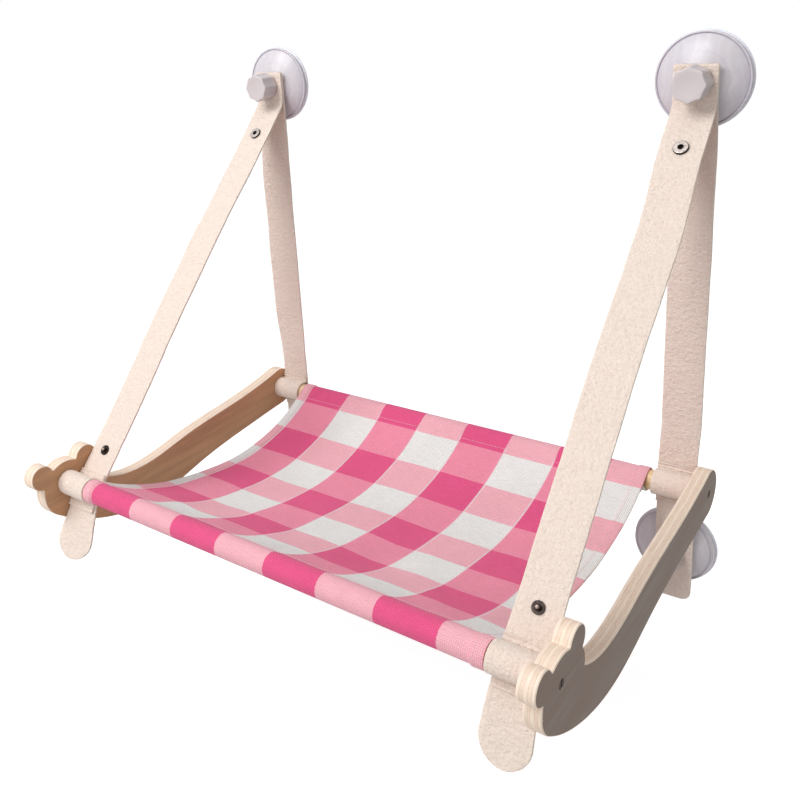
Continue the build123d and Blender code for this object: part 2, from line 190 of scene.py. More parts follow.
class PERCH_PG_felt(bpy.types.PropertyGroup):
    thickness: length("Felt", "Thickness of the felt", thickness_of("rear_strap_left"))
    rounding: length("Rounding", "Radius of the felt's cut edges", 0.0006)
    bend: length("Bend", "Radius where a front strap leaves its knob", 0.016)
    bend_start: length("Bend start", "Below the upper studs, where a front strap leaves its cup", 0.0133)
    spread: length("Spread", "How much further out each strap is at the dowels than at the cups", 0.0052)
    spread_from: number("Spread from", "Share of the way down at which the straps stand straight", 0.8)
    dowel_gap: length("Dowel gap", "Between the dowel and the felt", 0.0003)
    tail_bend: length("Tail bend", "Radius of the strap behind the front dowel", 0.022)
    right_lean: angle("Right tail lean", "Lean of the right hanging tail", 22)
    left_lean: angle("Left tail lean", "Lean of the left hanging tail", 29)
    left_twist: angle("Left tail twist", "Turn of the left tail's end about its own length", -12)
    tail_length: length("Tail", "Length of the hanging tail below its bend", 0.064)
    tail_width: length("Tail width", "Width of the tail's round end", 0.041)
    tail_shift: length("Tail shift", "How far in a tail hangs from its strap", 0.0014)
    tail_tip: length("Tail tip", "Least half width of the tail's round end", 0.0012)
    crease: length("Crease", "Depth of the creases at the tail's top", 0.00035)
    corner: length("Corner", "Rounding of the rear strap's lower corners", 0.009)
    loop_fillet: length("Loop fillet", "Radius where a loop leaves its sewn edge", 0.003)
    loop_layer: length("Loop layer", "Between a strap and the loop sewn on it", 0.0001)
    loop_lift: length("Loop lift", "How far a loop stands off its even line", 0.0003)
    front_up: length("Front sewn edge above", "Loop's upper edge above the front dowel", 0.018)
    front_down: length("Front sewn edge below", "Loop's lower edge below the front dowel", 0.022)
    rear_up: length("Rear sewn edge above", "Loop's upper edge above the rear dowel", 0.017)
    rear_down: length("Rear sewn edge below", "Loop's lower edge below the rear dowel", 0.025)
    insets: lengths("Stitch rows", "From a loop's sewn edge", (0.0022, 0.0060))
    pressed: lengths("Pressed rows", "Depth and half width of the dent under a row", (0.0012, 0.0009))
    stitch: lengths("Stitch", "A stitch's pitch, length and thread radius", (0.0030, 0.0023, 0.00030))
    stitch_depth: length("Stitch depth", "How far a loop's stitches lie below its even face", 0.0010)
    stitched: number("Stitched share", "Share of a loop's width that its stitches cover", 0.94)
    pale: lengths("Pale edge", "From the middle, where the cut edge pales and is palest", (0.0158, 0.0178))
    blend_past: length("Bend past studs", "How far past its press studs a front strap still turns", 0.012)
    lump: length("Lumps", "Height of the felt's unevenness", 0.00020)
    wobble: number("Wobble", "Share by which the straps' width varies", 0.035)
    right_bow: length("Right bow", "How far the right front strap sags behind its line", 0.0085)
    left_bow: length("Left bow", "How far the left front strap stands before its line", 0.003)
    rear_twist: angle("Rear twist", "Turn of the left rear strap towards the sling, halfway up", -11)
    left_shift: length("Left shift", "How far out the left rear strap stands halfway up", 0.0028)
    right_shift: length("Right shift", "How far out the right rear strap stands", 0.0015)
    cream: colour("Felt", "Colour of the felt", paint(243, 227, 215))
    shade: colour("Felt shade", "Colour of the felt's darker blotches", paint(228, 207, 194))
    stitches: colour("Stitches", "Thread of the felt's seams", paint(244, 230, 214))


class PERCH_PG_wood(bpy.types.PropertyGroup):
    plies: IntProperty(name="Plies", description="Layers in a side panel", default=5, min=3, max=15)
    # Painted light: outer is the veneer in painted shade, and inner is the veneer in painted shade warmed by
    # painted bounce light from the pink cloth.
    outer: colour("Outer veneer", "Broad faces away from the sling", paint(124, 108, 97))
    inner: colour("Inner veneer", "Broad faces next to the sling", paint(206, 156, 116))
    grain: colour("Veneer grain", "Grain lines of the broad faces", paint(138, 108, 86))
    light_ply: colour("Light ply", "Plies cut along the grain", paint(248, 230, 212))
    end_ply: colour("End ply", "Plies cut across the grain", paint(246, 224, 204))
    glue: colour("Glue line", "Between two plies", paint(178, 142, 114))
    dowel: colour("Dowel", "Dowels", paint(236, 208, 166))
    dowel_grain: colour("Dowel grain", "Grain lines of the dowels", paint(206, 166, 120))


class PERCH_PG_fittings(bpy.types.PropertyGroup):
    cover: colour("Cover", "Stiff cover over each cup", paint(208, 202, 207))
    # Painted shade of the groove inside the cover's edge, also the colour of the faint moulded line.
    groove_shade_and_mould_line: colour("Cover groove", "Line inside the cover's edge", paint(168, 162, 178))
    groove: lengths("Groove", "Radius and half width of the line inside the cover's edge", (0.0371, 0.0011))
    line: lengths("Mould line", "Radius and half width of the faint moulded line", (0.0235, 0.0008))
    cup: colour("Cup", "Soft cup", paint(240, 239, 247))
    knob: colour("Knob", "Clamping knob", paint(206, 196, 197))
    zinc: colour("Zinc", "Studs and nuts", paint(176, 176, 178))
    screw: colour("Screw", "Panel screws", paint(88, 80, 73))
    # Painted shade in the screw slots: the depth at which it is full, and the one at which it fades out.
    slot: lengths("Slot", "Depths at which a screw's slot is dark and is clean", (0.0006, 0.0001))
    ring: colour("Nickel", "Sockets of the press studs", paint(186, 178, 173))
    # Painted shade on the sockets: the radius where it fades out, and the one where it is full.
    socket_shade_radii: lengths("Socket tarnish", "Radii of its clean and its dull metal", (0.0028, 0.0024))
    nickel: colour("Dark nickel", "Balls and back caps of the press studs", paint(150, 132, 124))
    # Painted shade on the balls: the radius where it fades out, and the one where it is full.
    ball_shade_radii: lengths("Ball tarnish", "Radii of its clean and its dull metal", (0.0024, 0.0029))
    # Painted shade: near black colour of the caps seen through the sockets.
    hole_shade: colour("Socket hollow", "Caps seen through the sockets", paint(34, 30, 28))


class PERCH_PG_stage(bpy.types.PropertyGroup):
    lens: number("Lens", "Focal length", 40.48, unit="CAMERA")
    turn: angle("Turn", "Camera's turn round the object", 39.27)
    tilt: angle("Tilt", "Camera's tilt below level", 20.755)
    roll: angle("Roll", "Camera's roll", -4.83)
    shift_right: number("Shift right", "Sideways shift of the frame", 0.0860)
    shift_up: number("Shift up", "Upward shift of the frame", -0.0799)
    place: lengths("Camera", "Camera's place", (0.4598, -0.7927, 0.0897))
    floor_drop: length("Floor drop", "Floor below the object", 0.1)
    floor_reach: length("Floor reach", "From the floor's middle to its edges", 6.0)
    key_power: number("Key light", "Power in watts", 34.5)
    fill_power: number("Fill light", "Power in watts", 3.0)
    top_power: number("Top light", "Power in watts", 4.0)
    sky: number("Sky", "Strength of the even light", 0.43)
    glow: number("Floor glow", "Light that only the camera and reflections see on the floor", 0.74)


# Materials


def node(tree, kind, inputs=None, **settings):
    """New node, with its settings, and its inputs given as values, or as fields or sockets to link."""
    made = tree.nodes.new(kind)
    for name, value in settings.items():
        setattr(made, name, value)
    for name, value in (inputs or {}).items():
        value = getattr(value, "socket", value)
        if isinstance(value, bpy.types.NodeSocket):
            tree.links.new(value, made.inputs[name])
        else:
            made.inputs[name].default_value = value
    return made


class Field:
    """Number that varies over a surface: a node's result, whose arithmetic adds Math nodes."""

    def __init__(self, socket):
        self.socket = socket

    def math(self, operation, other=0.0):
        """Result of a Math node."""
        tree = self.socket.id_data
        return Field(node(tree, "ShaderNodeMath", {0: self, 1: other}, operation=operation).outputs[0])

    def __add__(self, other):
        return self.math("ADD", other)

    def __sub__(self, other):
        return self.math("SUBTRACT", other)

    def __mul__(self, other):
        return self.math("MULTIPLY", other)

    def __truediv__(self, other):
        return self.math("DIVIDE", other)

    def __mod__(self, other):
        return self.math("FLOORED_MODULO", other)

    def __gt__(self, other):
        return self.math("GREATER_THAN", other)

    def __lt__(self, other):
        return self.math("LESS_THAN", other)

    def __abs__(self):
        return self.math("ABSOLUTE")

    def ease(self, low, high, low_result=0.0, high_result=1.0):
        """Result of a smooth Map Range node."""
        inputs = {0: self, 1: low, 2: high, 3: low_result, 4: high_result}
        made = node(self.socket.id_data, "ShaderNodeMapRange", inputs, interpolation_type="SMOOTHSTEP")
        return Field(made.outputs[0])


class Finish:
    """Material in the making, with its surface shader and where each point lies on the piece."""

    def __init__(self, name, **values):
        self.material = bpy.data.materials.new(name)
        self.material.use_nodes = True
        self.tree = self.material.node_tree
        self.tree.nodes.clear()
        self.surface = self.node("BsdfPrincipled")
        for socket, value in values.items():
            self.surface.inputs[socket.replace("_", " ")].default_value = value
        self.output = self.node("OutputMaterial", {"Surface": self.surface.outputs[0]})
        coordinates = self.node("TexCoord").outputs
        self.place, self.flat = coordinates["Object"], coordinates["UV"]

    def node(self, kind, inputs=None, **settings):
        """New shader node."""
        return node(self.tree, "ShaderNode" + kind, inputs, **settings)

    def parts(self, vector):
        """The three numbers of a vector."""
        return [Field(socket) for socket in self.node("SeparateXYZ", {0: vector}).outputs]

    def normal(self):
        """Way that the surface faces."""
        return self.node("NewGeometry").outputs["Normal"]

    def vector(self, operation, first, second=(0.0, 0.0, 0.0), result="Vector"):
        """Result of a Vector Math node."""
        return self.node("VectorMath", {0: first, 1: second}, operation=operation).outputs[result]

    def mix(self, share, first, second, blend="MIX"):
        """Colour between two colours, each a socket or three numbers."""
        inputs = {0: share}
        for index, value in ((6, first), (7, second)):
            inputs[index] = value if isinstance(value, bpy.types.NodeSocket) else (*value, 1.0)
        return self.node("Mix", inputs, data_type="RGBA", blend_type=blend).outputs[2]

    def grains(self, scale, detail=3.0, roughness=0.55, at=None):
        """Noise from 0 to 1, with one scale or one for each axis."""
        at = at or self.place
        if isinstance(scale, tuple):
            at, scale = self.node("Mapping", {"Vector": at, "Scale": scale}).outputs[0], 1.0
        inputs = {"Vector": at, "Scale": scale, "Detail": detail, "Roughness": roughness}
        return Field(self.node("TexNoise", inputs).outputs[0])

    def bands(self, scale, distortion, **more):
        """Wavy bands from 0 to 1."""
        inputs = {"Vector": self.place, "Scale": scale, "Distortion": distortion, **more}
        return Field(self.node("TexWave", inputs).outputs["Fac"])

    def dress(self, colour, bump=None, roughness=None):
        """Link the colour, the bump (its heights, their size and its strength) and the roughness."""
        results = {"Base Color": colour}
        if bump:
            height, distance, strength = bump
            inputs = {"Height": height, "Distance": distance, "Strength": strength}
            results["Normal"] = self.node("Bump", inputs).outputs[0]
        if roughness:
            results["Roughness"] = roughness.socket
        for name, result in results.items():
            self.tree.links.new(result, self.surface.inputs[name])


def cloth_finish(cloth, half, hung):
    """Woven gingham: stripes both ways, pale lines beside them where it hangs, its threads, and a thin line
    of painted shade inside each hem's edge.
    """
    finish = Finish("Gingham canvas", Roughness=0.88, Sheen_Weight=0.12)
    flat = finish.flat
    across, along, _ = finish.parts(flat)
    fray = finish.grains(420.0, at=flat) * cloth.fray
    columns = (across + fray - cloth.check_start) / cloth.check_width % 2.0
    rows = (along + fray - (cloth.first_row - cloth.check_length)) / cloth.check_length % 2.0
    column = columns < 1.0
    plain = finish.mix(column, cloth.white, cloth.middle)
    crossed = finish.mix(column, cloth.light, cloth.dark)
    checked = finish.mix(rows < 1.0, plain, crossed)
    beside = abs((columns + 0.5).math("FRACT") - 0.5)
    near = beside.ease(0.0, cloth.edge / cloth.check_width, 0.7, 0.0)
    for end, inward in zip(hung, (1, -1)):
        near *= along.ease(end, end + inward * cloth.edge_fade)
    checked = finish.mix(near, checked, cloth.white)
    weft, warp = ((place * (math.pi / cloth.thread)).math("SINE") for place in (across, along))
    over = weft * warp > 0.0
    woven = abs(warp) + over * (abs(weft) - abs(warp))
    slub = finish.grains((90.0, 1400.0, 1.0), 2.0, at=flat)
    wash = finish.grains(14.0, 4.0, at=flat)
    light = woven.ease(0.0, 1.0, 0.70, 1.09) + slub.ease(0.2, 0.8, -0.08, 0.07)
    light *= wash.ease(0.2, 0.8, 0.95, 1.03)
    tone = finish.node("CombineColor", {0: light, 1: light, 2: light}).outputs[0]
    cloth_colour = finish.mix(1.0, checked, tone, "MULTIPLY")
    # Painted shade: a thin darker line just inside each hem's inner edge, where the folded hem steps up.
    inset, mark = cloth.hem_shade_line
    from_hem = abs(abs(across) - (half - cloth.hem - inset))
    cloth_colour = finish.mix(from_hem.ease(0.0, mark, 0.18, 0.0), cloth_colour, cloth.dark, "MULTIPLY")
    finish.dress(cloth_colour, (woven, cloth.thread * 0.25, 0.8))
    return finish.material


def felt_finish(felt):
    """Pressed felt: blotches, matted fibres, dents and pale cut edges."""
    finish = Finish("Cream felt", Roughness=0.95, Sheen_Weight=0.25)
    flat = finish.flat
    blotch = finish.grains(90.0, 5.0, 0.6, flat)
    speck = finish.grains(420.0, 4.0, 0.65, flat)
    fibre = finish.grains((900.0, 420.0, 1.0), 5.0, 0.7, flat)
    dents = finish.grains(230.0, 3.5, 0.62, flat)
    blotched = finish.mix(blotch.ease(0.3, 0.72, 0.0, 0.25), felt.cream, felt.shade)
    speckled = finish.mix(speck.ease(0.38, 0.66, 0.0, 0.5), blotched, felt.shade)
    pale = finish.mix(abs(finish.parts(flat)[0]).ease(*felt.pale, 0.0, 0.55), speckled, felt.stitches)
    finish.dress(pale, (fibre + speck * 1.6 + dents * 3.4, 0.00064, 0.95))
    return finish.material


def thread_finish(name, thread_colour):
    """Twisted sewing thread."""
    finish = Finish(name, Roughness=0.7, Sheen_Weight=0.2)
    twist = finish.bands(900.0, 1.0)
    tone = finish.mix(twist.ease(0.0, 1.0, 0.0, 0.25), thread_colour, paint(190, 150, 150))
    finish.dress(tone, (twist, 0.0001, 1.0))
    return finish.material


def plywood_finish(wood):
    """Plywood cut through: plies of turned grain across the panel's thickness, veneer outside, its outer
    faces in painted shade and its inner faces in painted shade warmed by painted light bounced from the pink
    cloth.
    """
    finish = Finish("Birch plywood", Roughness=0.62)
    inner, outer = (corner.x for corner in corners("side_panel_right"))
    beside = finish.parts(finish.place)[0]
    facing = finish.parts(finish.normal())[0]
    wander = (finish.grains(60.0) - 0.5) * 0.12
    layer = (abs(beside) - inner) / (outer - inner) * wood.plies + wander
    from_middle = abs(layer.math("FRACT") - 0.5)
    along_grain = finish.grains((900.0, 26.0, 320.0), 4.0)
    end_grain = finish.grains(900.0)
    streaks = finish.grains((3400.0, 60.0, 60.0))
    light = finish.mix(along_grain.ease(0.3, 0.75, 0.0, 0.6), wood.light_ply, wood.end_ply)
    dark = finish.mix(end_grain.ease(0.3, 0.7, 0.0, 0.25), wood.end_ply, wood.glue)
    plies = finish.mix(layer % 2.0 > 1.0, light, dark)
    glued = finish.mix(from_middle.ease(0.45, 0.49, 0.0, 0.6), plies, wood.glue)
    glued = finish.mix(streaks.ease(0.5, 0.7, 0.0, 0.5), glued, wood.glue)
    veins = finish.grains((40.0, 9.0, 150.0), 5.0, 0.6)
    pores = finish.grains((40.0, 90.0, 1700.0), 2.0)
    # Painted light: both broad faces are the same veneer; the outer colour is painted shade, grey and dark,
    # and the inner colour is painted shade warmed by light bounced from the pink cloth.
    veneer = finish.mix(facing * beside > 0.0, wood.inner, wood.outer)
    veneer = finish.mix(veins.ease(0.32, 0.7, 0.0, 0.3), veneer, wood.grain)
    veneer = finish.mix(pores.ease(0.55, 0.75, 0.0, 0.25), veneer, wood.grain)
    whole = finish.mix(abs(facing).ease(0.86, 0.97), glued, veneer)
    heights = along_grain + from_middle * -1.2
    finish.dress(whole, (heights, 0.00018, 0.5), veins.ease(0.2, 0.8, 0.55, 0.72))
    return finish.material


def dowel_finish(wood):
    """Turned wood with its grain along the dowel."""
    finish = Finish("Turned dowel", Roughness=0.5)
    veins = finish.grains((7.0, 160.0, 160.0), 5.0, 0.6)
    pores = finish.grains((120.0, 1500.0, 1500.0), 2.0)
    body = finish.mix(veins.ease(0.3, 0.72, 0.0, 0.7), wood.dowel, wood.dowel_grain)
    body = finish.mix(pores.ease(0.55, 0.8, 0.0, 0.4), body, wood.dowel_grain)
    finish.dress(body, (pores, 0.00012, 0.4), veins.ease(0.2, 0.8, 0.42, 0.6))
    return finish.material


def moulded_finish(name, base, darker, gloss, **values):
    """Moulded plastic: faint flow marks, fine grain and slightly uneven gloss."""
    finish = Finish(name, Roughness=gloss, **values)
    flow = finish.grains(38.0, 4.0)
    fine = finish.grains(1600.0, 2.0)
    body = finish.mix(flow.ease(0.3, 0.75, 0.0, 0.35), base, darker)
    roughness = flow.ease(0.2, 0.8, gloss - 0.06, gloss + 0.08)
    finish.dress(body, (fine + flow * 0.6, 0.00005, 0.5), roughness)
    return finish, body


def cover_finish(fittings):
    """Cover of a cup: moulded plastic with a line of painted shade in the groove inside its edge, and a
    faint moulded ring in the same darker colour.
    """
    finish, body = moulded_finish(
        "Cup cover plastic", fittings.cover, paint(188, 184, 198), 0.36, Coat_Weight=0.1
    )
    beside, _, above = finish.parts(finish.place)
    upper, lower = (side_middle("suction_cup_" + place).y for place in ("upper_right", "lower_right"))
    below = above < (upper + lower) / 2
    high = above - upper - below * (lower - upper)
    wide = abs(beside) - middle_x("suction_cup_upper_right")
    radius = (wide * wide + high * high).math("SQRT")
    swirl = finish.bands(34.0, 9.0, **{"Detail": 3.0, "Detail Scale": 1.4})
    lined = finish.mix(swirl.ease(0.6, 0.98, 0.0, 0.12), body, paint(236, 234, 240))
    # The groove line is painted shade in the groove; the faint ring is a moulded mark.
    for (ring, width), strength in ((fittings.groove, 0.8), (fittings.line, 0.18)):
        lined = finish.mix(abs(radius - ring).ease(0.0, width, strength, 0.0), lined, fittings.groove_shade_and_mould_line)
    finish.dress(lined)
    return finish.material


def metal_finish(name, base, darker, gloss):
    """Plated metal with fine turning marks and dull spots."""
    finish = Finish(name, Metallic=1.0, Roughness=gloss)
    marks = finish.grains((2400.0, 300.0, 2400.0))
    spots = finish.grains(420.0, 4.0)
    body = finish.mix(spots.ease(0.35, 0.75, 0.0, 0.6), base, darker)
    finish.dress(body, (marks, 0.00004, 0.5), spots.ease(0.2, 0.8, gloss - 0.08, gloss + 0.15))
    return finish, body


def stud_finish(name, piece, base, gloss, shade_radii):
    """Plated metal with painted shade: darker on its steep sides and from one radius about its middle to the
    other.
    """
    finish, body = metal_finish(name, base, paint(96, 86, 82), gloss)
    strap = side_middle("snap_ball_right") - side_middle("snap_socket_right")
    straight = Vector((0.0, -strap.y, strap.x)).normalized()
    low, high = corners(piece)
    facing = Field(finish.vector("DOT_PRODUCT", finish.normal(), straight, "Value"))
    beside, behind, above = finish.parts(finish.place)
    mirrored = finish.node("CombineXYZ", {0: abs(beside), 1: behind, 2: above}).outputs[0]
    swept = finish.vector("CROSS_PRODUCT", finish.vector("SUBTRACT", mirrored, (low + high) / 2), straight)
    radius = Field(finish.vector("LENGTH", swept, result="Value"))
    # Painted shade: the steep sides, the socket's inner ring round its hole and the ball's low flange are
    # painted dark, standing in for shade; it fades out at the first radius and is full at the second.
    unshaded, dull = shade_radii
    banded = radius.ease(unshaded, dull) if unshaded < dull else radius.ease(dull, unshaded, 1.0, 0.0)
    painted_shade = abs(facing).ease(0.65, 0.96, 1.0, 0.0).math("MAXIMUM", banded)
    finish.dress(finish.mix(painted_shade, body, paint(50, 43, 40)))
    return finish.material


def screw_finish(fittings):
    """Dull zinc screw whose slot is painted near black, as painted shade in the recess."""
    finish = Finish("Dull screw", Roughness=0.7, Specular_IOR_Level=0.15)
    dark, unshaded = (corners("panel_screw_rear_right")[1].x - depth for depth in fittings.slot)
    spots = finish.grains(420.0, 4.0)
    body = finish.mix(spots.ease(0.35, 0.75, 0.0, 0.5), fittings.screw, paint(92, 82, 74))
    # Painted shade: the slot's floor is painted near black where it lies deep below the head.
    slot_shade = abs(finish.parts(finish.place)[0]).ease(dark, unshaded, 1.0, 0.0)
    finish.dress(finish.mix(slot_shade, body, paint(12, 10, 9)), (spots, 0.00005, 0.5))
    return finish.material


def finish_nodes(material, *starts, places=SIDES):
    """Put a material on CAD nodes that keep their shape, named by how their names start and their places."""
    for name in (start + place for start in starts for place in places):
        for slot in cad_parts[name].material_slots:
            slot.material = material


def seen(tree):
    """1 for rays that the camera, reflections and glass see, and 0 for those that carry light."""
    rays = node(tree, "ShaderNodeLightPath").outputs
    camera, glossy, glass = (Field(rays[f"Is {kind} Ray"]) for kind in ("Camera", "Glossy", "Transmission"))
    return camera.math("MAXIMUM", glossy).math("MAXIMUM", glass)


def floor_finish(glow):
    """Pale matt floor that looks white to the camera and keeps the shadow."""
    finish = Finish("Pale floor", Roughness=0.9)
    plain = finish.surface.outputs[0]
    finish.surface.inputs["Base Color"].default_value = (0.6, 0.6, 0.6, 1.0)
    lit = finish.node("Emission", {"Strength": glow}).outputs[0]
    both = finish.node("AddShader", {0: plain, 1: lit}).outputs[0]
    chosen = finish.node("MixShader", {0: seen(finish.tree), 1: plain, 2: both}).outputs[0]
    finish.tree.links.new(chosen, finish.output.inputs["Surface"])
    return finish.material


def even_sky(strength):
    """World of even light that the camera and reflections see as white."""
    world = bpy.data.worlds.new("Even sky")
    world.use_nodes = True
    tree = world.node_tree
    tree.nodes.clear()
    inputs = {"Color": (1.0, 1.0, 1.0, 1.0), "Strength": seen(tree) * (1.0 - strength) + strength}
    sky = node(tree, "ShaderNodeBackground", inputs)
    node(tree, "ShaderNodeOutputWorld", {"Surface": sky.outputs[0]})
    return world


# Side views, measured along


def leaning_down(angle):
    """Way down in Y and Z, leaning forward by an angle."""
    return Vector((-math.sin(angle), -math.cos(angle)))


def leaning_front(angle):
    """Way towards the room, square to leaning_down."""
    return Vector((-math.cos(angle), math.sin(angle)))


def square_to(way):
    """Way square to a strap's or cloth's own, towards its upper or front face."""
    return Vector((way.y, -way.x))


def round_points(middle, radius, start, end, step=0.0006):
    """Points round a middle, from one angle to another."""
    count = max(4, math.ceil(abs(end - start) * radius / step))
    angles = (start + (end - start) * index / count for index in range(count + 1))
    return [middle + Vector((math.cos(angle), math.sin(angle))) * radius for angle in angles]


class Line:
    """Side view of a strap or cloth: points in Y and Z, and how far along each lies."""

    def __init__(self, points):
        self.points = [points[0]]
        self.marks = [0.0]
        for point in points[1:]:
            gap = (point - self.points[-1]).length
            if gap > 1e-6:
                self.points.append(point)
                self.marks.append(self.marks[-1] + gap)
        self.length = self.marks[-1]

    def at(self, distance):
        """Point at a distance along, and the direction there."""
        index = min(max(bisect_right(self.marks, distance) - 1, 0), len(self.marks) - 2)
        start, end = self.points[index], self.points[index + 1]
        part = (distance - self.marks[index]) / (self.marks[index + 1] - self.marks[index])
        before = start - self.points[index - 1] if index else end - start
        after = self.points[index + 2] - end if index + 2 < len(self.points) else end - start
        here = (end - start).normalized()
        way = here + before.normalized() * (1 - part) * 0.5 + after.normalized() * part * 0.5
        return start + (end - start) * part, way.normalized()


def smooth(value, low, high):
    """0 below low, 1 above high, and eased between."""
    part = min(max((value - low) / (high - low), 0.0), 1.0)
    return part * part * (3 - 2 * part)


def hump(value, rise, fall):
    """Eased from 0 to 1 over one span, and back to 0 over another."""
    return smooth(value, *rise) * (1 - smooth(value, *fall))


def uneven(*numbers):
    """Smooth unevenness, from about -1 to 1."""
    return noise.noise(Vector(numbers))


def curve_through(points, first_way, last_way, steps=24):
    """Smooth curve through points in Y and Z, with its directions at both ends."""
    ways = [first_way.normalized() * (points[1] - points[0]).length]
    ways += [(after - before) / 2 for before, after in zip(points, points[2:])]
    ways.append(last_way.normalized() * (points[-1] - points[-2]).length)
    curve = [points[0]]
    for start, end, first, last in zip(points, points[1:], ways, ways[1:]):
        curve += interpolate_bezier(start, start + first / 3, end - last / 3, end, steps + 1)[1:]
    return curve


# Pieces


def new_object(name, data):
    """Object in the scene."""
    made = bpy.data.objects.new(name, data)
    bpy.context.collection.objects.link(made)
    return made


def new_piece(name, points, places, faces, material):
    """Object from points, their places on the flat sheet and faces, with its normals outwards."""
    mesh = bpy.data.meshes.new(name)
    shape = bmesh.new()
    made = [shape.verts.new(point) for point in points]
    for face in faces:
        shape.faces.new([made[index] for index in face]).smooth = True
    shape.verts.index_update()
    layer = shape.loops.layers.uv.new("flat")
    for face in shape.faces:
        for loop in face.loops:
            loop[layer].uv = places[loop.vert.index]
    bmesh.ops.recalc_face_normals(shape, faces=shape.faces)
    shape.to_mesh(mesh)
    shape.free()
    mesh.materials.append(material)
    return new_object(name, mesh)


def band_section(half, thick, rounding, across=9, corner_steps=3):
    """Outline of a felt band cut across: pairs across and through, with rounded corners."""
    points = []
    wide, deep = half - rounding, thick / 2 - rounding
    for turn, (side, face) in enumerate(((1, -1), (1, 1), (-1, 1), (-1, -1))):
        for step in range(corner_steps + 1):
            angle = math.pi / 2 * (turn - 1 + step / corner_steps)
            round_end = (rounding * math.cos(angle), rounding * math.sin(angle))
            points.append((side * wide + round_end[0], face * deep + round_end[1]))
        if turn % 2:
            for step in range(1, across + 1):
                points.append((side * (wide - 2 * wide * step / (across + 1)), face * thick / 2))
    return points


def felt_lump(middle, across, through, stop):
    """Height of pressed felt's fine lumps, long swells and crosswise dents, in lumps."""
    fine = uneven(middle * 40 + across * 220, stop * 220, through * 60)
    swell = uneven(middle * 90 + across * 30, stop * 26, 4.0)
    dent = uneven(middle * 50 + across * 60, stop * 95, 9.0)
    return fine + swell * 3.0 + dent * 1.6


def felt_band(name, line, felt, material, middle_at, half_at, raised_at=None, twist_at=None, step=0.0025):
    """Felt strap along a side view. For each distance along it, functions give its middle's X, its
    half width, how far it is raised (at each place across) and its twist."""
    count, close = math.ceil(line.length / step), 0.0025
    stops = [line.length * index / count for index in range(count + 1)]
    stops = [stop for stop in stops if stop < line.length - close]
    # The last rings lie closer and closer, so that a round end is round
    stops += [line.length - close * (1 - math.sin(math.pi / 2 * index / 8)) for index in range(9)]
    points, places = [], []
    for stop in stops:
        at, way = line.at(stop)
        middle, twist = middle_at(stop), twist_at(stop) if twist_at else 0.0
        half = half_at(stop) * (1 + uneven(middle * 30, stop * 22, 1.0) * felt.wobble)
        section = band_section(half, felt.thickness, felt.rounding)
        for across, through in section:
            raised = felt_lump(middle, across, through, stop) * felt.lump
            if raised_at:
                raised += raised_at(across, stop)
            place = at + square_to(way) * ((through + raised) * math.cos(twist) + across * math.sin(twist))
            points.append((middle + across * math.cos(twist) - through * math.sin(twist), *place))
            places.append((across, stop))
    size = len(section)
    faces = [tuple(reversed(range(size))), tuple(range(len(points) - size, len(points)))]
    for first in range(0, len(points) - size, size):
        for index in range(size):
            after = (index + 1) % size
            faces.append((first + index, first + after, first + size + after, first + size + index))
    return new_piece(name, points, places, faces, material)


def strap_x(side, height, felt):
    """X of the middle of one side's straps at a height: they spread a little towards the dowels."""
    middle = middle_x("rear_strap_" + side)
    down = height / side_middle("rear_dowel").y
    return middle + math.copysign(felt.spread, middle) * (down - felt.spread_from)


def wrap_radius(felt):
    """From a dowel's middle to the middle of the felt round it."""
    return thickness_of("front_dowel") / 2 + felt.dowel_gap + felt.thickness / 2


class FrontStrapLine(Line):
    """Side view of a front strap, with its lean, where its tail starts and the tail's own lean."""

    def __init__(self, side, felt):
        self.tail_lean = felt.left_lean if side == "left" else felt.right_lean
        low, high = corners("front_strap_" + side)
        clamp = high.y - felt.thickness / 2
        dowel, wrap = side_middle("front_dowel"), wrap_radius(felt)
        bend_middle = Vector((clamp - felt.bend, -felt.bend_start))
        run = dowel - bend_middle
        self.lean = math.atan2(-run.x, -run.y) - math.asin((wrap - felt.bend) / run.length)
        tail_middle = dowel - leaning_front(self.lean) * (wrap + felt.tail_bend)
        self.tail_start = tail_middle + leaning_front(self.tail_lean) * felt.tail_bend
        points = [Vector((clamp, high.z))]
        points += round_points(bend_middle, felt.bend, 0.0, -self.lean)
        points += round_points(tail_middle, felt.tail_bend, math.pi - self.lean, math.pi - self.tail_lean)
        self.tail = Line(points).length
        super().__init__([*points, self.tail_start + leaning_down(self.tail_lean) * felt.tail_length])


def loop_line(dowel, wrap, fillet, upper, lower):
    """Side view of a felt loop: down a strap's face, round the dowel's front and down again.
    Upper and lower give a lean, how far behind the dowel's middle the sewn edge lies, and its reach."""
    ends = []
    for way, (lean, behind, reach) in ((-1, upper), (1, lower)):
        front, down = leaning_front(lean), leaning_down(lean) * way
        away = math.sqrt((wrap + fillet) ** 2 - (behind - fillet) ** 2)
        middle = dowel - front * (behind - fillet) + down * away
        from_line = math.atan2(-front.y, -front.x)
        to_dowel = math.atan2(*(dowel - middle).yx)
        turn = (to_dowel - from_line + math.pi) % (2 * math.pi) - math.pi
        arc = round_points(middle, fillet, from_line, from_line + turn)
        ends.append([dowel - front * behind + down * reach, *arc])
    top, bottom = (math.atan2(*(end[-1] - dowel).yx) % (2 * math.pi) for end in ends)
    return Line(ends[0] + round_points(dowel, wrap, top, bottom) + list(reversed(ends[1])))


